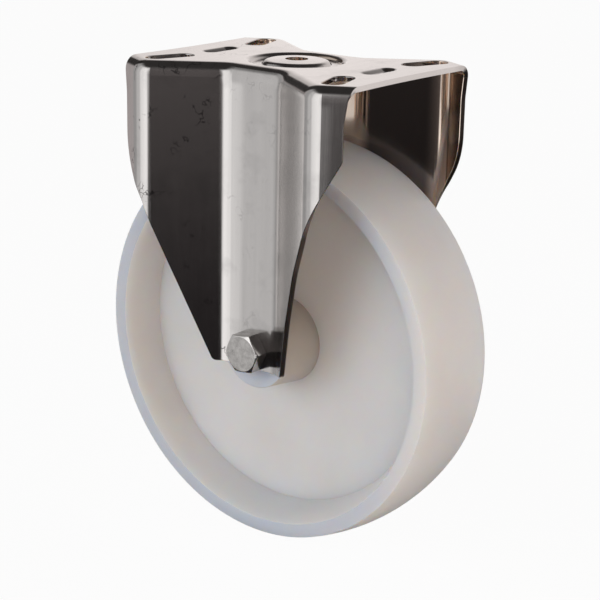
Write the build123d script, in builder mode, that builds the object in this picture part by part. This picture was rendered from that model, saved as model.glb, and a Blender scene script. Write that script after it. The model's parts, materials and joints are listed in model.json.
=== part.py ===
from build123d import *
from math import atan, cos, pi, radians, tan
import os

# Fixed castor: a 200 mm solid nylon wheel in a pressed stainless steel bracket.
# The origin is the centre of the bracket's top face, where the castor is bolted on.
# +Z is up, the axle runs along Y, and the wheel rolls along X.

# Bracket sheet and plate, all sizes in millimetres
sheet = 2.5                      # thickness of the pressed sheet
wheel_headroom = 34.5            # from the wheel's top to the underside of the plate
plate_end = 66.0                 # half length of the plate at its corners
plate_end_hollow = 1.4           # how far the free edge curves in at its middle
plate_end_straight = 1.4         # straight stretch between that curve and each bend
bend_radius = 6.5                # outer radius, plate to leg

# Plan of the bracket's sides, as theoretical corners of the outer face
channel_half = 16.0              # corner between the flat channel and the flared flank
channel_round = 10.7
flank_angle = 34.9
lobe_at = 50.3                   # corner between the flank and the return wall
lobe_round = 9.8
return_angle = 28.5

# Side view of the legs, heights above the axle
leg_end = 64.2                   # half length of a leg's upper part
leg_end_run = 14.0               # depth over which the plate's edge runs into the leg's edge
leg_end_round = 20.0
leg_foot = 8.6                   # bottom edge, below the axle
leg_foot_half = 20.8
leg_foot_round = 2.5
sheared_edge_chamfer = 0.2       # along both sides of the legs' sheared outline
straight_side_shoulder = 91.5    # one edge of a leg comes down nearly straight
straight_side_shoulder_round = 36.0
straight_side_knee = (50.0, 71.0)
straight_side_knee_round = 40.0
hollow_side_shoulder = 104.0     # the other has a sharp shoulder and is hollow
hollow_side_shoulder_round = 5.0
hollow_side_knee = (35.5, 47.0)
hollow_side_knee_round = 70.0
hollow_side_shin = (27.0, 20.0)
hollow_side_shin_round = 90.0

# Holes and pressings in the plate
slot_centre = (50.0, 34.0)
slot_length = 25.3
slot_width = 10.2
slot_tilt = 18.5                 # outer ends lean outwards, from Y
slot_rim_round = 0.5
bead_at = 47.6
bead_length = 23.0
bead_width = 8.4
bead_depth = 1.6
bead_slope = 36.0                # of its walls, degrees below the face
bead_inner_round = 0.8           # inner radius of its bends
groove_outer = 23.2              # radii of the groove around the centre hole, at the top face
groove_inner = 15.0
groove_depth = 2.0
groove_draft = 1.6               # how far each of its walls leans in
groove_inner_round = 0.5         # inner radius of its bends
centre_rise = 0.6                # the middle is crowned: its top stands above the face
centre_hole_diameter = 11.0

# Wheel
wheel_diameter = 200.0
tread_width = 50.0
tread_crown_radius = 98.0        # the tread is slightly barrel-shaped
tread_edge_round = 3.0
rim_side = 10.0                  # width of the rim's flat side
rim_lip_round = 2.5
rim_slope = 6.5                  # how far the recess wall leans in, down to the web
rim_root_round = 5.0
web_thickness = 12.0
hub_length = 59.0
hub_face_radius = 19.4
hub_base_radius = 22.0
hub_base_round = 7.0
hub_edge_round = 0.8
hub_bore_chamfer = 0.6

# Axle
axle_diameter = 12.0
bolt_hole_clearance = 0.25       # radial, bolt in the legs
tube_bore_clearance = 0.1        # radial, bolt in the axle tube
tube_wall = 3.9
tube_chamfer = 0.5
running_clearance = 0.08         # radial, hub on the axle tube
hub_side_gap = 0.5               # hub face to leg, on each side
head_width = 18.0                # across flats
head_height = 7.0
head_turn = 6.5                  # its corner at +X stands this many degrees above level
chamfer_face = 0.95              # a hexagon's round face, as a share of its width across flats
chamfer_height = 0.9             # of the corners, on the head and on the nut
bolt_end_chamfer = 1.0
bolt_end_beyond_nut = 3.0
nut_width = 18.0
nut_height = 12.0
nut_hex_height = 8.6
nut_collar_diameter = 16.4
nut_collar_round = 1.4
nut_thread_clearance = 0.05
insert_diameter = 14.6
insert_height = 2.2
insert_below_top = 0.7

# Values that follow from the sizes above
axle_radius = axle_diameter / 2
tube_bore_radius = axle_radius + tube_bore_clearance
tube_radius = tube_bore_radius + tube_wall
hub_bore_radius = tube_radius + running_clearance
leg_inner = hub_length / 2 + hub_side_gap
leg_outer = leg_inner + sheet
nut_face = leg_outer + nut_height
bolt_end = nut_face + bolt_end_beyond_nut
head_face = leg_outer + head_height
wheel_radius = wheel_diameter / 2
rim_lip_radius = wheel_radius - rim_side
rim_root_radius = rim_lip_radius - rim_slope
axle_drop = sheet + wheel_headroom + wheel_radius
bead_wall = sheet * tan(radians(bead_slope) / 2)
groove_wall = sheet * tan(atan(groove_depth / groove_draft) / 2)
foot_level = -(axle_drop + leg_foot)
beyond = 20.0                    # how far cutting shapes run past what they cut
flatness = 0.01
squareness = 0.05

# The axle's section plane: first axis along the axle, second axis upwards from it
axle_section = Plane(origin=(0, 0, -axle_drop), x_dir=(0, 1, 0), z_dir=(1, 0, 0))
axle_line = Axis((0, 0, -axle_drop), (0, 1, 0))


def across_axle(y):
    # A plane square to the axle at y, first axis along X, drawn upwards, facing +Y
    return Plane(origin=(0, y, -axle_drop), x_dir=(-1, 0, 0), z_dir=(0, 1, 0))


def flat_edges(part, level, spot, reach):
    # Edges that lie flat at a level, with their middle within reach of a spot in plan
    def chosen(edge):
        box = edge.bounding_box()
        middle = box.center()
        away = ((middle.X - spot[0]) ** 2 + (middle.Y - spot[1]) ** 2) ** 0.5
        return max(abs(box.min.Z - level), abs(box.max.Z - level)) < flatness and away <= reach

    return part.edges().filter_by(chosen)


def on_skin(face):
    # The sheet's outer side: the plate's top, the bends and the outsides of the legs
    spot = face.center()
    normal = face.normal_at(spot)
    return normal.Z > 1 - flatness or (abs(normal.Y) > squareness and abs(spot.Y) > sheet)


def sheared(face):
    # A leg's face cut across the sheet, below the plate: its ends are as long as the sheet is thick
    below = face.bounding_box().max.Z < flatness - sheet
    return below and any(abs(edge.length - sheet) < flatness for edge in face.edges())


def corner_cut(face_y, across, inward):
    # Section of the ring that chamfers a hexagon's corners, on the face at face_y
    face_radius = chamfer_face * across / 2
    corner = across / 2 / cos(pi / 6)
    clear = corner + chamfer_height
    slope = chamfer_height / (corner - face_radius)
    return [(face_y, face_radius), (face_y, clear), (face_y + inward * slope * (clear - face_radius), clear)]


def side_corners():
    # Theoretical corners of one side's outer face in plan, from +X to -X
    lobe_y = leg_outer + (lobe_at - channel_half) * tan(radians(flank_angle))
    end_y = lobe_y - (plate_end - lobe_at) * tan(radians(return_angle))
    half = [(plate_end, end_y), (lobe_at, lobe_y), (channel_half, leg_outer)]
    return half + [(-x, y) for x, y in reversed(half)]


def turned(points):
    return [(-x, -y) for x, y in points]


def leg_side(turn):
    # Side view of one leg and its corner radii; turn is 1 for the leg at -Y, -1 for the one at +Y
    top = plate_end + beyond
    run_in = -sheet - leg_end_run
    outline = [
        (top, beyond),
        (top, -sheet),
        (plate_end, -sheet),
        (leg_end, run_in),
        (leg_end, hollow_side_shoulder - axle_drop),
        (hollow_side_knee[0], hollow_side_knee[1] - axle_drop),
        (hollow_side_shin[0], hollow_side_shin[1] - axle_drop),
        (leg_foot_half, foot_level),
        (-leg_foot_half, foot_level),
        (-straight_side_knee[0], straight_side_knee[1] - axle_drop),
        (-leg_end, straight_side_shoulder - axle_drop),
        (-leg_end, run_in),
        (-plate_end, -sheet),
        (-top, -sheet),
        (-top, beyond),
    ]
    rounds = [
        0,
        0,
        leg_end_round,
        hollow_side_shoulder_round,
        hollow_side_knee_round,
        hollow_side_shin_round,
        leg_foot_round,
        leg_foot_round,
        straight_side_knee_round,
        straight_side_shoulder_round,
        leg_end_round,
        0,
        0,
    ]
    return [(turn * x, z) for x, z in outline], rounds


# The outer form of the pressing: a solid block with the bracket's plan and its outer bends
near_side = side_corners()
side_rounds = [lobe_round, channel_round, channel_round, lobe_round]
far_side = turned(near_side)
plate_end_y = near_side[0][1]
hollow_edge_y = plate_end_y - bend_radius - plate_end_straight
with BuildPart() as outer_form:
    with BuildSketch(Plane.XY.offset(foot_level - beyond)):
        with BuildLine():
            FilletPolyline(*near_side, radius=side_rounds)
            FilletPolyline(*far_side, radius=side_rounds)
            for end in (plate_end, -plate_end):
                middle = end - plate_end_hollow * end / plate_end
                for side in (1, -1):
                    Line((end, side * plate_end_y), (end, side * hollow_edge_y))
                ThreePointArc((end, hollow_edge_y), (middle, 0), (end, -hollow_edge_y))
        make_face()
    extrude(amount=beyond - foot_level)
    top_edges = outer_form.faces().sort_by(Axis.Z)[-1].edges()
    fillet(top_edges.filter_by(lambda e: e.bounding_box().size.X > 2 * plate_end_hollow), bend_radius)

# The legs' side view: one leg is the other turned half a turn about Z
leg_form_reach = plate_end + beyond
with BuildPart() as leg_form:
    for turn in (1, -1):
        with BuildSketch(Plane.XZ):
            with BuildLine():
                outline, rounds = leg_side(turn)
                FilletPolyline(*outline, radius=rounds)
                Line(outline[0], outline[-1])
            make_face()
        extrude(amount=turn * leg_form_reach)

# The outer form trimmed to that side view: its outside is the sheet's outer side
with BuildPart() as trimmed_form:
    add(outer_form.part)
    add(leg_form.part, mode=Mode.INTERSECT)
skin = Shell(trimmed_form.faces().filter_by(on_skin))

# The bracket: one pressed sheet, with its pressings and holes
slot_places = [(sx, sy) for sx in (1, -1) for sy in (1, -1)]
with BuildPart() as bracket:
    add(Solid.thicken(skin, -sheet))

    # The legs' sheared edges are slightly broken: those are the edges that only one sheared face has
    outline_edges = bracket.faces().filter_by(sheared).edges()
    chamfer(outline_edges.filter_by(lambda edge: outline_edges.count(edge) == 1), sheared_edge_chamfer)

    # Two stiffening beads, pressed down, each along Y
    bead_lean = 90 - bead_slope
    for sx in (1, -1):
        bead_spot = (sx * bead_at, 0)
        with BuildSketch(Plane.XY.offset(-sheet)):
            with Locations(bead_spot):
                SlotOverall(bead_length + 2 * bead_wall, bead_width + 2 * bead_wall, rotation=90)
        extrude(amount=-bead_depth, taper=bead_lean)
        with BuildSketch(Plane.XY):
            with Locations(bead_spot):
                SlotOverall(bead_length, bead_width, rotation=90)
        extrude(amount=-bead_depth, taper=bead_lean, mode=Mode.SUBTRACT)

    # The groove around the centre hole: a ridge below, a channel above
    for level, wall, mode in ((-sheet, groove_wall, Mode.ADD), (0, 0, Mode.SUBTRACT)):
        with BuildSketch(Plane.XZ):
            with BuildLine():
                inner = groove_inner - wall
                outer = groove_outer + wall
                floor = level - groove_depth
                Polyline(
                    (inner, level),
                    (inner + groove_draft, floor),
                    (outer - groove_draft, floor),
                    (outer, level),
                    close=True,
                )
            make_face()
        revolve(axis=Axis.Z, mode=mode)

    # The middle's crown: raised above, and hollow to match below
    for level, wall, mode in ((0, 0, Mode.ADD), (-sheet, groove_wall, Mode.SUBTRACT)):
        with BuildSketch(Plane.XZ):
            with BuildLine():
                crown_edge = (groove_inner - wall, level)
                crown_top = (0, level + centre_rise)
                crown_radius = (crown_edge[0] ** 2 + centre_rise**2) / (2 * centre_rise)
                Polyline(crown_edge, (0, level), crown_top)
                RadiusArc(crown_edge, crown_top, -crown_radius)
            make_face()
        revolve(axis=Axis.Z, mode=mode)

    # Four bolt slots and the centre hole
    with BuildSketch(Plane.XY.offset(centre_rise)):
        for sx, sy in slot_places:
            with Locations((sx * slot_centre[0], sy * slot_centre[1])):
                SlotOverall(slot_length, slot_width, rotation=90 - sx * sy * slot_tilt)
        Circle(centre_hole_diameter / 2)
    extrude(amount=-centre_rise - sheet - groove_depth, mode=Mode.SUBTRACT)

    # The axle's holes in both legs
    with BuildSketch(across_axle(-leg_outer - beyond)):
        Circle(axle_radius + bolt_hole_clearance)
    extrude(amount=2 * (leg_outer + beyond), mode=Mode.SUBTRACT)

    # The pressings' bends are rounded, wider on the outside of each bend than on its inside
    for level, wider in ((0, sheet), (-groove_depth, 0), (-sheet, 0), (-sheet - groove_depth, sheet)):
        rings = flat_edges(bracket, level, (0, 0), flatness)
        bends = rings.filter_by(lambda ring: ring.bounding_box().size.X > centre_hole_diameter + sheet)
        fillet(bends, groove_inner_round + wider)
    for sx in (1, -1):
        for level, wider in ((0, sheet), (-bead_depth, 0), (-sheet, 0), (-sheet - bead_depth, sheet)):
            bead_edges = flat_edges(bracket, level, (sx * bead_at, 0), bead_length / 2 + bead_wall)
            fillet(bead_edges, bead_inner_round + wider)

    # The slots' rims are slightly rounded, on both faces
    for sx, sy in slot_places:
        for level in (0, -sheet):
            slot_edges = flat_edges(bracket, level, (sx * slot_centre[0], sy * slot_centre[1]), slot_length / 2)
            fillet(slot_edges, slot_rim_round)
bracket.part.label = "bracket"

# The wheel: one nylon moulding, drawn as half its section and mirrored
half_tread = tread_width / 2
half_hub = hub_length / 2
half_web = web_thickness / 2
crown_drop = tread_crown_radius - (tread_crown_radius**2 - half_tread**2) ** 0.5
with BuildPart() as wheel:
    with BuildSketch(axle_section):
        with BuildLine():
            Polyline(
                (0, wheel_radius),
                (0, hub_bore_radius),
                (half_hub - hub_bore_chamfer, hub_bore_radius),
                (half_hub, hub_bore_radius + hub_bore_chamfer),
                (half_hub, hub_face_radius),
                (half_web, hub_base_radius),
                (half_web, rim_root_radius),
                (half_tread, rim_lip_radius),
                (half_tread, wheel_radius - crown_drop),
            )
            RadiusArc((half_tread, wheel_radius - crown_drop), (0, wheel_radius), -tread_crown_radius)
        section = make_face()
        for corner, size in (
            ((half_hub, hub_face_radius), hub_edge_round),
            ((half_web, hub_base_radius), hub_base_round),
            ((half_web, rim_root_radius), rim_root_round),
            ((half_tread, rim_lip_radius), rim_lip_round),
            ((half_tread, wheel_radius - crown_drop), tread_edge_round),
        ):
            fillet(section.vertices().sort_by_distance(corner)[0], size)
        mirror(about=Plane.YZ)
    revolve(axis=axle_line)
wheel.part.label = "wheel"

# The axle tube, clamped between the legs; the wheel turns on it
with BuildPart() as axle_tube:
    with BuildSketch(across_axle(-leg_inner)):
        Circle(tube_radius)
        Circle(tube_bore_radius, mode=Mode.SUBTRACT)
    extrude(amount=2 * leg_inner)
    chamfer(axle_tube.edges().filter_by(GeomType.CIRCLE), tube_chamfer)
axle_tube.part.label = "axle_tube"

# The axle bolt, its head on the leg at -Y
with BuildPart() as axle_bolt:
    with BuildSketch(across_axle(-head_face)):
        RegularPolygon(head_width / 2, 6, major_radius=False, rotation=-head_turn)
    extrude(amount=head_height)
    with BuildSketch(axle_section):
        with BuildLine():
            Polyline(*corner_cut(-head_face, head_width, 1), close=True)
        make_face()
    revolve(axis=axle_line, mode=Mode.SUBTRACT)
    with BuildSketch(across_axle(-leg_outer)):
        Circle(axle_radius)
    extrude(amount=leg_outer + bolt_end)
    chamfer(axle_bolt.edges().filter_by(GeomType.CIRCLE).sort_by(Axis.Y)[-1], bolt_end_chamfer)
axle_bolt.part.label = "axle_bolt"

# The lock nut: a hexagon, and a round collar that holds the nylon insert
insert_outer_face = nut_face - insert_below_top
insert_inner_face = insert_outer_face - insert_height
with BuildPart() as lock_nut:
    with BuildSketch(across_axle(leg_outer)):
        RegularPolygon(nut_width / 2, 6, major_radius=False)
    extrude(amount=nut_hex_height)
    for face_y, inward in ((leg_outer, 1), (leg_outer + nut_hex_height, -1)):
        with BuildSketch(axle_section):
            with BuildLine():
                Polyline(*corner_cut(face_y, nut_width, inward), close=True)
            make_face()
        revolve(axis=axle_line, mode=Mode.SUBTRACT)
    with BuildSketch(across_axle(leg_outer)):
        Circle(nut_collar_diameter / 2)
    extrude(amount=nut_height)
    fillet(lock_nut.edges().filter_by(GeomType.CIRCLE).sort_by(Axis.Y)[-1], nut_collar_round)
    with BuildSketch(across_axle(leg_outer)):
        Circle(axle_radius + nut_thread_clearance)
    extrude(amount=nut_height, mode=Mode.SUBTRACT)
    with BuildSketch(across_axle(insert_inner_face)):
        Circle(insert_diameter / 2)
    extrude(amount=insert_height, mode=Mode.SUBTRACT)
lock_nut.part.label = "lock_nut"

# The nylon ring in the collar, which grips the bolt
with BuildPart() as nut_insert:
    with BuildSketch(across_axle(insert_inner_face)):
        Circle(insert_diameter / 2)
        Circle(axle_radius, mode=Mode.SUBTRACT)
    extrude(amount=insert_height)
nut_insert.part.label = "nut_insert"

os.makedirs("parts", exist_ok=True)
for piece in (bracket, wheel, axle_tube, axle_bolt, lock_nut, nut_insert):
    export_step(piece.part, f"parts/{piece.part.label}.step")
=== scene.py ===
import bpy
import json
import math
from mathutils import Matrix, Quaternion, Vector

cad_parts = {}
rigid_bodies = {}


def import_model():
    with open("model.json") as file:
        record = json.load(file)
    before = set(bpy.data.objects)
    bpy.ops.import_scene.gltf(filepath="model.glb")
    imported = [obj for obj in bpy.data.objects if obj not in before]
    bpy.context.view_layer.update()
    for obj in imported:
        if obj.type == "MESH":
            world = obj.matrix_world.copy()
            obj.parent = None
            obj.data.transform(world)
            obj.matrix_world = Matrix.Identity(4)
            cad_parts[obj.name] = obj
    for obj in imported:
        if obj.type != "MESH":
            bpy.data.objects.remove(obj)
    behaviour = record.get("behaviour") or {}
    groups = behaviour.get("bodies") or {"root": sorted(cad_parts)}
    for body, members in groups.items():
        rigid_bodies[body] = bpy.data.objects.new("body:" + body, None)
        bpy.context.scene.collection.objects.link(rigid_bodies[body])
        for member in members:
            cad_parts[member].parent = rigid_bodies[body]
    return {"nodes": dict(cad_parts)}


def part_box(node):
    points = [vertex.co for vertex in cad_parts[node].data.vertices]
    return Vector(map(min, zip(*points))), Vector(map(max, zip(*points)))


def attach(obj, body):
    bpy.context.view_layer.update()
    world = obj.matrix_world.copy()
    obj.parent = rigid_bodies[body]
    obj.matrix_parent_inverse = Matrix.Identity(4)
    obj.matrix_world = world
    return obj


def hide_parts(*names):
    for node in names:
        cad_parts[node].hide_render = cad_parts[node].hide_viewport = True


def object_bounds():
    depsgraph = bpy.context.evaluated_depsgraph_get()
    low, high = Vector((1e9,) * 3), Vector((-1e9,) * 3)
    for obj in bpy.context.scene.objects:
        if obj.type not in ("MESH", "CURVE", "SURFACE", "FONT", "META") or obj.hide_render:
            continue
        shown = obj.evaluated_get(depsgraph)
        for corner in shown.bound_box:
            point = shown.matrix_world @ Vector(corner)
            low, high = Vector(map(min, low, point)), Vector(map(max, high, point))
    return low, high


# Fixed castor: pressed stainless bracket, solid nylon wheel, hexagon bolt and lock nut.
# Metres throughout; the plate's top face is at z = 0 and the axle runs along Y.

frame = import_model()
cadLow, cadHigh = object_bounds()
boltLow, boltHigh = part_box("axle_bolt")
axleHeight = (boltLow.z + boltHigh.z) / 2
print("frame loaded:", sorted(frame["nodes"]))

# The camera that was fitted to the photo
cameraSetup = {
    "place": (0.480588, -0.616352, 0.118314),
    "aim": (0.003692, 0.001384, -0.118368),
    "lean": 1.13,                # degrees, the small tilt of the photo's horizon
    "lens": 99.21,
    "sensor": 36.0,
    "near": 0.02,
    "far": 60,
}


def addCamera(setup):
    data = bpy.data.cameras.new("camera")
    data.lens = setup["lens"]
    data.sensor_width = setup["sensor"]
    data.clip_start = setup["near"]
    data.clip_end = setup["far"]
    camera = bpy.data.objects.new("camera", data)
    bpy.context.scene.collection.objects.link(camera)
    camera.location = setup["place"]
    look = Vector(setup["aim"]) - Vector(setup["place"])
    level = look.to_track_quat("-Z", "Y")
    camera.rotation_mode = "QUATERNION"
    camera.rotation_quaternion = level @ Quaternion((0, 0, 1), math.radians(setup["lean"]))
    bpy.context.scene.camera = camera


addCamera(cameraSetup)
print("camera placed")


# Node helpers

def newTree(name):
    material = bpy.data.materials.new(name)
    material.use_nodes = True
    tree = material.node_tree
    tree.nodes.clear()
    return material, tree


def put(tree, kind, **values):
    # Adds a node; plain names are its properties, names with in_ are its inputs
    node = tree.nodes.new(kind)
    for name, value in values.items():
        if name.startswith("in_"):
            node.inputs[name[3:].replace("_", " ")].default_value = value
        else:
            setattr(node, name, value)
    return node


def join(tree, start, end):
    tree.links.new(start, end)


def mathStep(tree, operation, first, second=None):
    node = put(tree, "ShaderNodeMath", operation=operation)
    for socket, value in zip(node.inputs, (first, second)):
        if value is None:
            continue
        if isinstance(value, bpy.types.NodeSocket):
            join(tree, value, socket)
        else:
            socket.default_value = value
    return node.outputs[0]


def times(tree, first, second):
    return mathStep(tree, "MULTIPLY", first, second)


def plus(tree, first, second):
    return mathStep(tree, "ADD", first, second)


def distance(tree, value):
    # How far a value is from zero, on either side
    return mathStep(tree, "ABSOLUTE", value)


def ramp(tree, source, stops):
    # Stops are (place, value) or (place, colour)
    node = put(tree, "ShaderNodeValToRGB")
    points = node.color_ramp.elements
    while len(points) > 1:
        points.remove(points[-1])
    for number, (place, value) in enumerate(stops):
        point = points[0] if number == 0 else points.new(place)
        point.position = place
        colour = value if isinstance(value, tuple) else (value, value, value)
        point.color = (*colour, 1)
    join(tree, source, node.inputs["Fac"])
    return node.outputs["Color"]


def mixColour(tree, share, first, second):
    node = put(tree, "ShaderNodeMix", data_type="RGBA")
    for socket, value in ((node.inputs[0], share), (node.inputs[6], first), (node.inputs[7], second)):
        if isinstance(value, bpy.types.NodeSocket):
            join(tree, value, socket)
        elif isinstance(value, tuple):
            socket.default_value = (*value, 1)
        else:
            socket.default_value = value
    return node.outputs[2]


def axes(tree, kind):
    # X, Y and Z of one of Texture Coordinate's outputs: Object is the place, Normal the way a face looks
    place = put(tree, "ShaderNodeTexCoord")
    parts = put(tree, "ShaderNodeSeparateXYZ")
    join(tree, place.outputs[kind], parts.inputs[0])
    return parts.outputs


def objectPoint(tree, scale=(1, 1, 1), shift=(0, 0, 0)):
    place = put(tree, "ShaderNodeTexCoord")
    mapping = put(tree, "ShaderNodeMapping", in_Scale=scale, in_Location=shift)
    join(tree, place.outputs["Object"], mapping.inputs["Vector"])
    return mapping.outputs["Vector"]


def noise(tree, vector, scale, detail=2.0, rough=0.5):
    node = put(tree, "ShaderNodeTexNoise", in_Scale=scale, in_Detail=detail, in_Roughness=rough)
    join(tree, vector, node.inputs["Vector"])
    return node.outputs["Fac"]


def bump(tree, height, strength, rise):
    node = put(tree, "ShaderNodeBump", in_Strength=strength, in_Distance=rise)
    join(tree, height, node.inputs["Height"])
    return node.outputs["Normal"]


def fade(tree, value, edge, softness, before, after):
    # Eases from one value to another as value passes edge
    node = put(tree, "ShaderNodeMapRange", interpolation_type="SMOOTHSTEP",
               in_To_Min=before, in_To_Max=after)
    half = times(tree, softness, 0.5)
    join(tree, value, node.inputs["Value"])
    join(tree, mathStep(tree, "SUBTRACT", edge, half), node.inputs["From Min"])
    join(tree, plus(tree, edge, half), node.inputs["From Max"])
    return node.outputs["Result"]


def vary(tree, pattern, level, spread):
    # A level that a pattern from 0 to 1 moves up and down by half the spread
    return plus(tree, times(tree, pattern, spread), level - spread / 2)


def finishTree(tree, shader):
    output = put(tree, "ShaderNodeOutputMaterial")
    join(tree, shader.outputs[0], output.inputs["Surface"])


def finishSurface(tree, colour, rough, normal, metallic=1.0):
    shader = put(tree, "ShaderNodeBsdfPrincipled", in_Metallic=metallic)
    if isinstance(colour, tuple):
        shader.inputs["Base Color"].default_value = (*colour, 1)
    else:
        join(tree, colour, shader.inputs["Base Color"])
    join(tree, rough, shader.inputs["Roughness"])
    join(tree, normal, shader.inputs["Normal"])
    finishTree(tree, shader)
    return shader


# The pressed stainless sheet

sheetFinish = {
    "colour": (0.63, 0.612, 0.602),
    "roughness": 0.14,
    "roughnessSpread": 0.10,
    # The sheared edges are duller cut steel, and their colour is darkened further as painted shade
    "edgeColourAndShade": (0.26, 0.215, 0.19),
    "edgeRoughness": 0.34,
    # The bracket's inside gets a warmer, lighter colour than the outside: painted warm reflection
    "insidePaintedReflection": (0.92, 0.78, 0.67),
    # The flanks' inside is painted dark: painted dark reflection
    "insideFlankPaintedReflection": (0.17, 0.15, 0.14),
    "grainAcross": 1500.0,       # drawing lines per metre
    "grainAlong": 22.0,
    "grainHeight": 0.000012,
    "grainStrength": 0.5,
    "streaksAcross": 260.0,
    "streaksAlong": 9.0,
    "streaks": [(0.35, 0.0), (0.75, 0.16)],
    "smudgeColour": (0.40, 0.39, 0.385),
    "smudgeScale": 34.0,
    "smudges": [(0.52, 0.0), (0.72, 0.55)],
    "markColour": (0.12, 0.115, 0.115),
    "markStrength": 0.8,
    "markScale": 95.0,
    "markLine": [(0.492, 0.0), (0.50, 1.0), (0.512, 1.0), (0.520, 0.0)],
    "markPatchScale": 70.0,
    "markPatchShift": (0.3, 0.1, 0.2),
    "markPatches": [(0.56, 0.0), (0.62, 1.0)],
    "markedUpTo": (-0.014, 0.006),      # along X, and over what width the marks thin out there
    "markedBeyond": 0.22,        # what is left of them past it
    "runOuts": [                 # where the bends run out, over what width, and how high
        (0.0115, 0.015, 0.0008),
        (0.0560, 0.009, 0.00012),
    ],
    "runOutsBelow": (-0.008, 0.004),    # along Z, clear of the plate
}

# The legs' plan. A bend is given by how far out it lies along X and how wide it is, a wall by how much
# of the way it faces is along X.
legPlan = {
    "channelEdge": (0.016, 0.006),
    "flank": -0.572,
    "lobe": (0.0503, 0.009),
    "returnWall": 0.477,
    "flankFrom": (0.018, 0.006),        # the flank's inside has its own colour from here, a dark painted reflection
    "flankTo": (0.0463, 0.008),
    "top": (-0.006, 0.002),      # the legs' edges begin below here
    "across": 0.5,               # a face is an edge when less than this of its normal is across the sheet
}


def alongTheSheet(tree, across, along):
    # Lines run up the legs and on across the plate, as the sheet was rolled before it was bent
    place = axes(tree, "Object")
    run = mathStep(tree, "SUBTRACT", distance(tree, place["Y"]), place["Z"])
    packed = put(tree, "ShaderNodeCombineXYZ")
    join(tree, times(tree, place["X"], across), packed.inputs["X"])
    join(tree, times(tree, run, along), packed.inputs["Y"])
    join(tree, mathStep(tree, "SIGN", place["Y"]), packed.inputs["Z"])
    return packed.outputs[0]


def sheetMasks(tree, plan):
    # Masks of the legs' sheared edges, which lie square to the sheet, of the bracket's inside, and of
    # the flanks by their place; they carry painted shade on the edges and painted reflections inside
    place = axes(tree, "Object")
    facing = axes(tree, "Normal")
    out = distance(tree, place["X"])
    leanX = plus(tree, fade(tree, out, *plan["channelEdge"], 0.0, plan["flank"]),
                 fade(tree, out, *plan["lobe"], 0.0, plan["returnWall"] - plan["flank"]))
    leanY = mathStep(tree, "SQRT", mathStep(tree, "SUBTRACT", 1.0, times(tree, leanX, leanX)))
    shares = []
    for axis, lean in (("X", leanX), ("Y", leanY)):
        away = times(tree, mathStep(tree, "SIGN", place[axis]), facing[axis])
        shares.append(times(tree, away, lean))
    across = plus(tree, *shares)
    sideways = mathStep(tree, "LESS_THAN", distance(tree, across), plan["across"])
    edge = times(tree, fade(tree, place["Z"], *plan["top"], 1.0, 0.0), sideways)
    inwards = mathStep(tree, "LESS_THAN", across, -plan["across"])
    down = mathStep(tree, "LESS_THAN", facing["Z"], -plan["across"])
    inside = mathStep(tree, "MAXIMUM", inwards, down)
    flank = times(tree, fade(tree, out, *plan["flankFrom"], 0.0, 1.0),
                  fade(tree, out, *plan["flankTo"], 1.0, 0.0))
    return edge, inside, flank


def bendRunOuts(tree, finish):
    # The channel and the return walls still turn a little out of their bends: smooth rises of the face
    place = axes(tree, "Object")
    out = distance(tree, place["X"])
    rises = [fade(tree, out, middle, width, 0.0, lift) for middle, width, lift in finish["runOuts"]]
    node = put(tree, "ShaderNodeBump", in_Distance=1.0)
    join(tree, plus(tree, *rises), node.inputs["Height"])
    join(tree, fade(tree, place["Z"], *finish["runOutsBelow"], 1.0, 0.0), node.inputs["Strength"])
    return node.outputs["Normal"]


def scratches(tree, finish):
    # Short dark curls, where the contour of one noise crosses the few patches that another allows;
    # most are on the panel to the left of the channel
    contour = noise(tree, objectPoint(tree), finish["markScale"], detail=3.0, rough=0.6)
    spread = noise(tree, objectPoint(tree, shift=finish["markPatchShift"]), finish["markPatchScale"])
    marks = times(tree, ramp(tree, contour, finish["markLine"]), ramp(tree, spread, finish["markPatches"]))
    leftPanel = fade(tree, axes(tree, "Object")["X"], *finish["markedUpTo"], 1.0, finish["markedBeyond"])
    return times(tree, marks, leftPanel)


def pressedSteel(finish):
    material, tree = newTree("pressedSteel")
    lines = alongTheSheet(tree, finish["grainAcross"], finish["grainAlong"])
    fine = noise(tree, lines, 1.0, detail=3.0, rough=0.6)
    broad = noise(tree, alongTheSheet(tree, finish["streaksAcross"], finish["streaksAlong"]), 1.0)
    clouds = noise(tree, objectPoint(tree), finish["smudgeScale"], detail=4.0, rough=0.6)
    edge, inside, flank = sheetMasks(tree, legPlan)

    smudges = ramp(tree, clouds, finish["smudges"])
    colour = mixColour(tree, smudges, finish["colour"], finish["smudgeColour"])
    colour = mixColour(tree, ramp(tree, broad, finish["streaks"]), colour, finish["smudgeColour"])
    marks = times(tree, scratches(tree, finish), finish["markStrength"])
    colour = mixColour(tree, marks, colour, finish["markColour"])
    # Inside the bracket: painted warm reflection, and painted dark reflection on the flanks' inside
    insidePaintedReflection = mixColour(tree, flank, finish["insidePaintedReflection"], finish["insideFlankPaintedReflection"])
    colour = mixColour(tree, inside, colour, insidePaintedReflection)
    # Sheared edges: duller cut steel, darkened further by painted shade
    colour = mixColour(tree, edge, colour, finish["edgeColourAndShade"])

    spread = finish["roughnessSpread"]
    rough = plus(tree, vary(tree, fine, finish["roughness"], spread), vary(tree, clouds, 0.0, spread))
    rougher = times(tree, edge, finish["edgeRoughness"] - finish["roughness"])
    grain = put(tree, "ShaderNodeBump", in_Strength=finish["grainStrength"],
                in_Distance=finish["grainHeight"])
    join(tree, fine, grain.inputs["Height"])
    join(tree, bendRunOuts(tree, finish), grain.inputs["Normal"])
    finishSurface(tree, colour, plus(tree, rough, rougher), grain.outputs["Normal"])
    return material


# The nylon wheel

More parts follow.
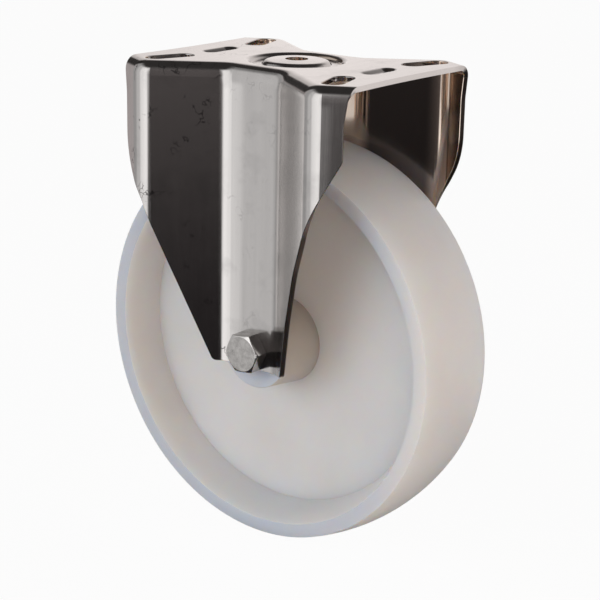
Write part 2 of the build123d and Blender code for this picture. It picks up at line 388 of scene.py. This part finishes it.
nylonFinish = {
    "colour": (0.715, 0.730, 0.755),
    "cloudColour": (0.69, 0.70, 0.715),
    "cloudScale": 22.0,
    "clouds": [(0.4, 0.0), (0.7, 1.0)],
    # The turned faces are darker and bluer than the rest: painted shade
    "turnedPaintedShading": (0.56, 0.61, 0.70),
    "turnedFrom": 0.0242,        # the rim's and the hub's side faces are turned, further out than this
    "turnedFacing": (0.8, 0.3),
    "turnedPaintedLight": (0.76, 0.75, 0.75),
    "paintedLightFrom": (0.082, 0.05),  # those faces are painted lighter past here along X, over this width: painted light
    # The hub's barrel is painted darker and browner: painted shade
    "barrelPaintedShade": (0.50, 0.455, 0.41),
    "barrelRadius": (0.0275, 0.010),
    "barrelFacing": (0.7, 0.4),
    "skinScale": 900.0,
    "skinHeight": 0.00002,
    "skinStrength": 0.08,
    "roughness": 0.40,
    "roughnessSpread": 0.08,
    "glow": 1.0,
    "glowReach": 0.030,
    "glowColour": (1.0, 0.66, 0.44),
}


def wheelMasks(tree, finish):
    # Masks of the turned side faces and of the hub's barrel, where shade is painted, and of the side
    # towards +X, where light is painted
    place = axes(tree, "Object")
    sideways = distance(tree, axes(tree, "Normal")["Y"])
    outside = mathStep(tree, "GREATER_THAN", distance(tree, place["Y"]), finish["turnedFrom"])
    turned = times(tree, outside, fade(tree, sideways, *finish["turnedFacing"], 0.0, 1.0))
    height = mathStep(tree, "SUBTRACT", place["Z"], axleHeight)
    squares = [times(tree, length, length) for length in (place["X"], height)]
    radius = mathStep(tree, "SQRT", plus(tree, *squares))
    barrel = times(tree, fade(tree, radius, *finish["barrelRadius"], 1.0, 0.0),
                   fade(tree, sideways, *finish["barrelFacing"], 1.0, 0.0))
    return turned, barrel, fade(tree, place["X"], *finish["paintedLightFrom"], 0.0, 1.0)


def naturalNylon(finish):
    material, tree = newTree("naturalNylon")
    clouds = noise(tree, objectPoint(tree), finish["cloudScale"], detail=3.0)
    skin = noise(tree, objectPoint(tree), finish["skinScale"])
    turned, barrel, paintedLightSide = wheelMasks(tree, finish)
    colour = mixColour(tree, ramp(tree, clouds, finish["clouds"]), finish["colour"], finish["cloudColour"])
    # Painted shade on the hub's barrel
    colour = mixColour(tree, barrel, colour, finish["barrelPaintedShade"])
    # The turned faces: painted shade, painted lighter towards +X
    turnedPaintedShading = mixColour(tree, paintedLightSide, finish["turnedPaintedShading"], finish["turnedPaintedLight"])
    colour = mixColour(tree, turned, colour, turnedPaintedShading)
    rough = vary(tree, clouds, finish["roughness"], finish["roughnessSpread"])
    relief = bump(tree, skin, finish["skinStrength"], finish["skinHeight"])
    shader = finishSurface(tree, colour, rough, relief, metallic=0.0)
    shader.inputs["Subsurface Weight"].default_value = finish["glow"]
    shader.inputs["Subsurface Radius"].default_value = finish["glowColour"]
    shader.inputs["Subsurface Scale"].default_value = finish["glowReach"]
    return material


# Bolt, nut, tube and insert

boltFinish = {
    "colour": (0.58, 0.565, 0.55),
    "mottleColour": (0.33, 0.32, 0.31),
    "mottleScale": 300.0,
    "mottle": [(0.35, 0.0), (0.70, 0.8)],
    # The chamfers are painted lighter: a painted highlight
    "chamferHighlightColour": (0.78, 0.765, 0.75),
    "chamferHighlight": [(0.80, 0.0), (0.84, 1.0), (0.94, 1.0), (0.97, 0.0)],     # by how far a face looks endwise
    "dentScale": 900.0,
    "dentDepth": 0.00006,
    "dentStrength": 0.4,
    "roughness": 0.24,
    "roughnessSpread": 0.2,
}
tubeFinish = {
    "colour": (0.60, 0.59, 0.58),
    "lineScale": 1800.0,
    "lineStretch": (1, 0.02, 1),
    "lineHeight": 0.00002,
    "lineStrength": 0.3,
    "roughness": 0.28,
    "roughnessSpread": 0.12,
}
insertFinish = {
    "colour": (0.74, 0.74, 0.72),
    "skinScale": 1200.0,
    "skinHeight": 0.00002,
    "skinStrength": 0.2,
    "roughness": 0.5,
    "roughnessSpread": 0.1,
}


def boltSteel(finish):
    # The corners' chamfers are painted lighter, a painted highlight; the rest is mottled
    material, tree = newTree("boltSteel")
    clouds = noise(tree, objectPoint(tree), finish["mottleScale"], detail=4.0, rough=0.65)
    dents = noise(tree, objectPoint(tree), finish["dentScale"])
    chamferHighlight = ramp(tree, distance(tree, axes(tree, "Normal")["Y"]), finish["chamferHighlight"])
    colour = mixColour(tree, ramp(tree, clouds, finish["mottle"]), finish["colour"], finish["mottleColour"])
    colour = mixColour(tree, chamferHighlight, colour, finish["chamferHighlightColour"])
    rough = vary(tree, clouds, finish["roughness"], finish["roughnessSpread"])
    relief = bump(tree, dents, finish["dentStrength"], finish["dentDepth"])
    finishSurface(tree, colour, rough, relief)
    return material


def drawnSteel(finish):
    material, tree = newTree("drawnSteel")
    lines = noise(tree, objectPoint(tree, scale=finish["lineStretch"]), finish["lineScale"])
    rough = vary(tree, lines, finish["roughness"], finish["roughnessSpread"])
    relief = bump(tree, lines, finish["lineStrength"], finish["lineHeight"])
    finishSurface(tree, finish["colour"], rough, relief)
    return material


def insertNylon(finish):
    material, tree = newTree("insertNylon")
    skin = noise(tree, objectPoint(tree), finish["skinScale"])
    rough = vary(tree, skin, finish["roughness"], finish["roughnessSpread"])
    relief = bump(tree, skin, finish["skinStrength"], finish["skinHeight"])
    finishSurface(tree, finish["colour"], rough, relief, metallic=0.0)
    return material


def dress(node, material):
    for slot in frame["nodes"][node].material_slots:
        slot.material = material


steelOfBolt = boltSteel(boltFinish)
dress("bracket", pressedSteel(sheetFinish))
dress("wheel", naturalNylon(nylonFinish))
dress("axle_tube", drawnSteel(tubeFinish))
dress("lock_nut", steelOfBolt)
dress("nut_insert", insertNylon(insertFinish))
print("materials assigned")


# The bolt: the CAD bolt with worn edges, and a threaded end in place of its plain one

boltShape = {
    "threadFrom": 0.0440,        # inside the nut
    "pitch": 0.00175,
    "rootRadius": 0.00510,
    "rootHalf": 0.00016,         # half width of the flat at the root
    "crestRadius": 0.00596,
    "crestHalf": 0.00011,
    "turns": 4,
    "stepsPerTurn": 64,
    "endRadius": 0.0050,
    "endSides": 96,
    "endSpare": 0.0002,          # the thread is cut this far past the end, before its chamfer
    "mergeCopied": 0.000003,
    "mergeScrewed": 0.000004,
    "flatWithin": 1.0,           # degrees
    "wornEdge": 0.00024,
    "wornSteps": 2,
    "wornAbove": 40,             # degrees
    "smoothBelow": 20,           # degrees
}


def activate(piece):
    bpy.ops.object.select_all(action="DESELECT")
    piece.select_set(True)
    bpy.context.view_layer.objects.active = piece


def cutOff(level, way):
    # Takes away what lies past a level along the axle and closes the cut
    bpy.ops.mesh.select_all(action="SELECT")
    bpy.ops.mesh.bisect(plane_co=(0, level, 0), plane_no=(0, way, 0), use_fill=True, clear_outer=True)


def makeWornBolt(shape):
    node = frame["nodes"]["axle_bolt"]
    bolt = node.copy()
    bolt.data = node.data.copy()
    bpy.context.scene.collection.objects.link(bolt)
    bolt.name = "bolt"
    activate(bolt)
    bpy.ops.object.parent_clear(type="CLEAR_KEEP_TRANSFORM")
    bpy.ops.object.transform_apply(location=True, rotation=True, scale=True)
    bpy.ops.mesh.customdata_custom_splitnormals_clear()
    bpy.ops.object.mode_set(mode="EDIT")
    bpy.ops.mesh.select_all(action="SELECT")
    bpy.ops.mesh.remove_doubles(threshold=shape["mergeCopied"])
    bpy.ops.mesh.dissolve_limited(angle_limit=math.radians(shape["flatWithin"]))
    cutOff(shape["threadFrom"] + shape["pitch"] / 4, 1)
    bpy.ops.object.mode_set(mode="OBJECT")
    bevel = bolt.modifiers.new("wear", "BEVEL")
    bevel.width = shape["wornEdge"]
    bevel.segments = shape["wornSteps"]
    bevel.limit_method = "ANGLE"
    bevel.angle_limit = math.radians(shape["wornAbove"])
    bpy.ops.object.modifier_apply(modifier=bevel.name)
    return bolt


def makeThread(shape):
    # One turn's profile, extruded step by step from a single point, then screwed along the axle
    rise = shape["crestRadius"] - shape["rootRadius"]
    slope = shape["pitch"] / 2 - shape["rootHalf"] - shape["crestHalf"]
    profile = [(0, shape["rootHalf"]), (rise, slope), (0, 2 * shape["crestHalf"]), (-rise, slope),
               (0, shape["rootHalf"])]
    bpy.ops.object.select_all(action="DESELECT")
    bpy.ops.mesh.primitive_plane_add(size=0.001, location=(0, 0, axleHeight))
    thread = bpy.context.object
    thread.name = "thread"
    bpy.ops.object.mode_set(mode="EDIT")
    bpy.ops.mesh.select_all(action="SELECT")
    bpy.ops.mesh.merge(type="CENTER")
    bpy.ops.transform.translate(value=(shape["rootRadius"], shape["threadFrom"] - shape["pitch"], 0))
    for out, along in profile:
        bpy.ops.mesh.extrude_region_move(TRANSFORM_OT_translate={"value": (out, along, 0)})
    bpy.ops.object.mode_set(mode="OBJECT")
    screw = thread.modifiers.new("screw", "SCREW")
    screw.axis = "Y"
    screw.screw_offset = shape["pitch"]
    screw.iterations = shape["turns"]
    screw.steps = shape["stepsPerTurn"]
    screw.render_steps = shape["stepsPerTurn"]
    bpy.ops.object.modifier_apply(modifier=screw.name)
    bpy.ops.object.mode_set(mode="EDIT")
    bpy.ops.mesh.select_all(action="SELECT")
    bpy.ops.mesh.remove_doubles(threshold=shape["mergeScrewed"])
    cutOff(shape["threadFrom"], -1)
    cutOff(boltHigh.y + shape["endSpare"], 1)
    bpy.ops.mesh.select_all(action="SELECT")
    bpy.ops.mesh.normals_make_consistent(inside=False)
    bpy.ops.object.mode_set(mode="OBJECT")
    chamferEnd(thread, shape)
    return thread


def chamferEnd(thread, shape):
    # The end is chamfered at 45 degrees by what a cone leaves of it
    reach = boltHigh.y - shape["threadFrom"] + shape["pitch"]
    bpy.ops.object.select_all(action="DESELECT")
    bpy.ops.mesh.primitive_cone_add(vertices=shape["endSides"], radius1=shape["endRadius"] + reach,
                                    radius2=shape["endRadius"], depth=reach,
                                    location=(0, boltHigh.y - reach / 2, axleHeight),
                                    rotation=(-math.pi / 2, 0, 0))
    cone = bpy.context.object
    activate(thread)
    cut = thread.modifiers.new("chamfer", "BOOLEAN")
    cut.operation = "INTERSECT"
    cut.object = cone
    bpy.ops.object.modifier_apply(modifier=cut.name)
    bpy.data.objects.remove(cone)
    bpy.ops.object.transform_apply(location=True, rotation=True, scale=True)


def makeBolt(shape, material):
    bolt = makeWornBolt(shape)
    thread = makeThread(shape)
    for piece in (bolt, thread):
        piece.data.materials.clear()
        piece.data.materials.append(material)
    activate(bolt)
    thread.select_set(True)
    bpy.ops.object.join()
    bpy.ops.object.shade_smooth_by_angle(angle=math.radians(shape["smoothBelow"]))
    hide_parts("axle_bolt")
    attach(bolt, "fork")
    return bolt


bolt = makeBolt(boltShape, steelOfBolt)
print("bolt built:", len(bolt.data.polygons), "faces")


# The studio: a plain floor, a white background and soft light

plain = (1.0, 0.99, 0.985)
warm = (1.0, 0.935, 0.91)
rosy = (1.0, 0.89, 0.88)

# The panels that the steel mirrors, out of sight all round, judged from what it mirrors in the photo.
# For each: where it begins and ends, in degrees from +X by +Y; its light and its tint; how high it
# reaches (as a sine), how softly it ends there, and how far down it goes. Between two panels all of
# these change evenly.
panels = {
    "backLight": {"ends": (40, 65), "light": 0.975, "tint": warm, "reach": (0.60, 0.40, 0.46)},
    "backWall": {"ends": (90, 110), "light": 0.79, "tint": warm, "reach": (0.55, 0.38, 0.46)},
    "cornerLight": {"ends": (127, 129), "light": 1.00, "tint": warm, "reach": (0.51, 0.33, 0.46)},
    "sideCard": {"ends": (142, 147), "light": 0.65, "tint": warm, "reach": (0.50, 0.30, 0.46)},
    "lowCard": {"ends": (150, 166), "light": 0.48, "tint": rosy, "reach": (0.10, 0.12, 0.46)},
    "leftWall": {"ends": (183, 202), "light": 0.44, "tint": plain, "reach": (0.77, 0.27, 0.50)},
    "greyCard": {"ends": (216, 232), "light": 0.69, "tint": plain, "reach": (0.78, 0.24, 0.50)},
    "lightEdge": {"ends": (243, 246), "light": 1.12, "tint": plain, "reach": (0.76, 0.20, 0.50)},
    "frontLight": {"ends": (270, 278), "light": 1.32, "tint": plain, "reach": (0.76, 0.20, 0.50)},
    "screen": {"ends": (289, 295), "light": 0.115, "tint": rosy, "reach": (0.80, 0.30, 0.20)},
    "darkCorner": {"ends": (331, 374), "light": 0.087, "tint": rosy, "reach": (0.80, 0.30, 0.20)},
}

studio = {
    "overhead": (0.040, 0.037, 0.036),
    "underneath": (0.020, 0.0175, 0.018),
    "lowerEdgeSoftness": 0.22,
    "background": (1.0, 1.0, 1.0),
    "floorSize": 6.0,
    "floorGap": 0.0002,
    "floorColour": (0.86, 0.86, 0.86),
    "floorGlow": 0.955,          # how much of the floor shows as plain white, to the camera alone
}

lamps = {
    "lampRight": {"place": (1.3, 0.1, 0), "size": (1, 1), "power": 6, "colour": (1.0, 0.96, 0.93)},
    "lampFront": {"place": (-0.7, -1.4, 0.25), "size": (1.2, 1), "power": 5.5, "colour": (0.80, 0.92, 1.0)},
    "lampWarm": {"place": (1.05, -0.95, 0), "size": (0.8, 0.8), "power": 6, "colour": (1.0, 0.80, 0.64)},
}


def panelStops(look):
    # A stop at both ends of each panel, in turns from +X; look gives what the stop holds of it
    return sorted((end % 360 / 360, look(panel)) for panel in panels.values() for end in panel["ends"])


def panelColour(panel):
    return tuple(panel["light"] * part for part in panel["tint"])


def addWorld(setup):
    world = bpy.data.worlds.new("studioWorld")
    bpy.context.scene.world = world
    world.use_nodes = True
    tree = world.node_tree
    tree.nodes.clear()
    place = put(tree, "ShaderNodeTexCoord")
    mapping = put(tree, "ShaderNodeMapping", in_Scale=(-1, -1, 1))     # so that the angle begins at +X
    join(tree, place.outputs["Generated"], mapping.inputs["Vector"])
    around = put(tree, "ShaderNodeTexGradient", gradient_type="RADIAL")
    join(tree, mapping.outputs["Vector"], around.inputs["Vector"])
    angle = around.outputs["Fac"]
    height = axes(tree, "Generated")["Z"]
    reach = put(tree, "ShaderNodeSeparateColor")
    join(tree, ramp(tree, angle, panelStops(lambda panel: panel["reach"])), reach.inputs[0])
    top, softness, depth = reach.outputs
    above = fade(tree, height, top, softness, 0.0, 1.0)
    below = fade(tree, height, times(tree, depth, -1.0), setup["lowerEdgeSoftness"], 1.0, 0.0)
    sky = mixColour(tree, above, ramp(tree, angle, panelStops(panelColour)), setup["overhead"])
    sky = mixColour(tree, below, sky, setup["underneath"])
    seen = put(tree, "ShaderNodeLightPath")
    sky = mixColour(tree, seen.outputs["Is Camera Ray"], sky, setup["background"])
    background = put(tree, "ShaderNodeBackground", in_Strength=1.0)
    join(tree, sky, background.inputs["Color"])
    output = put(tree, "ShaderNodeOutputWorld")
    join(tree, background.outputs[0], output.inputs["Surface"])


def addFloor(setup):
    bpy.ops.object.select_all(action="DESELECT")
    bpy.ops.mesh.primitive_plane_add(size=setup["floorSize"], location=(0, 0, cadLow.z - setup["floorGap"]))
    floor = bpy.context.object
    floor.name = "floor"
    material, tree = newTree("floorPaint")
    paint = put(tree, "ShaderNodeBsdfDiffuse", in_Color=(*setup["floorColour"], 1))
    glow = put(tree, "ShaderNodeEmission", in_Color=(1, 1, 1, 1), in_Strength=1.0)
    seen = put(tree, "ShaderNodeLightPath")
    blend = put(tree, "ShaderNodeMixShader")
    join(tree, times(tree, seen.outputs["Is Camera Ray"], setup["floorGlow"]), blend.inputs[0])
    join(tree, paint.outputs[0], blend.inputs[1])
    join(tree, glow.outputs[0], blend.inputs[2])
    finishTree(tree, blend)
    floor.data.materials.append(material)
    floor.visible_glossy = False


def addLamp(name, setup, aim):
    data = bpy.data.lights.new(name, "AREA")
    data.shape = "RECTANGLE"
    data.size, data.size_y = setup["size"]
    data.energy = setup["power"]
    data.color = setup["colour"]
    lamp = bpy.data.objects.new(name, data)
    bpy.context.scene.collection.objects.link(lamp)
    lamp.location = setup["place"]
    lamp.rotation_mode = "QUATERNION"
    lamp.rotation_quaternion = (Vector(aim) - Vector(setup["place"])).to_track_quat("-Z", "Y")
    lamp.visible_glossy = False
    lamp.visible_camera = False


addWorld(studio)
addFloor(studio)
for lampName, lampSetup in lamps.items():
    addLamp(lampName, lampSetup, (0, 0, axleHeight))
print("studio built")

bpy.context.scene.view_settings.view_transform = "Standard"
